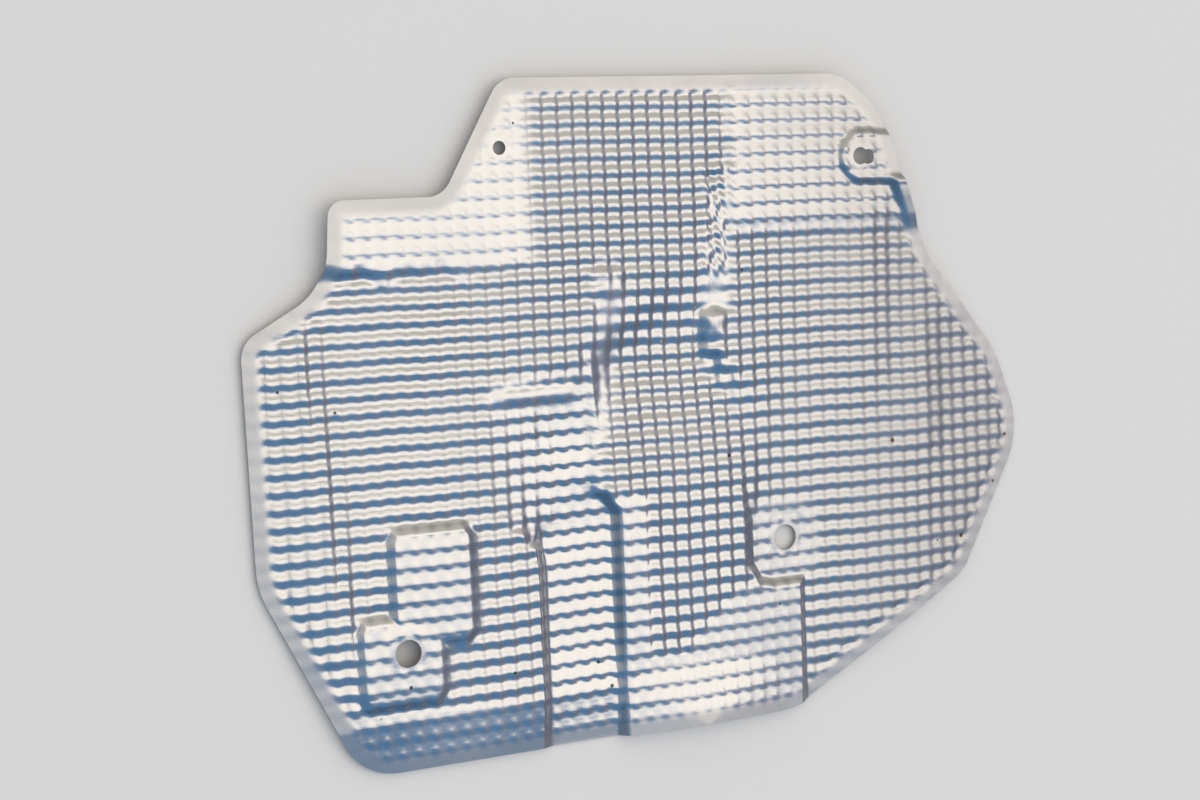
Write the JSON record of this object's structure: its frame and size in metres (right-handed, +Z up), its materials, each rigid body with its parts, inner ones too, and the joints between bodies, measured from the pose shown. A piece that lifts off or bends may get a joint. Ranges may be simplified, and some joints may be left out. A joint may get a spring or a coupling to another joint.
{
  "type": "heat shield",
  "caption": "Pressed sheet-aluminium heat shield with egg-crate embossing, a clearance channel, flat rims and bolt seats, for shielding parts from a hot exhaust.",
  "frame": {"origin": "under the middle of the outline's bounding box, on the floor that the shield lies on", "axes": "+X along the longest extent towards the narrow nose, +Y across the sheet towards the ear's edge, +Z up, out of the embossed face"},
  "size_m": [0.4231, 0.3168, 0.0113],
  "materials": {
    "aluminium_sheet": "bright mill finish, embossed, lightly scuffed"
  },
  "bodies": {
    "root": {"heat_shield": "aluminium_sheet"}
  },
  "joints": []
}
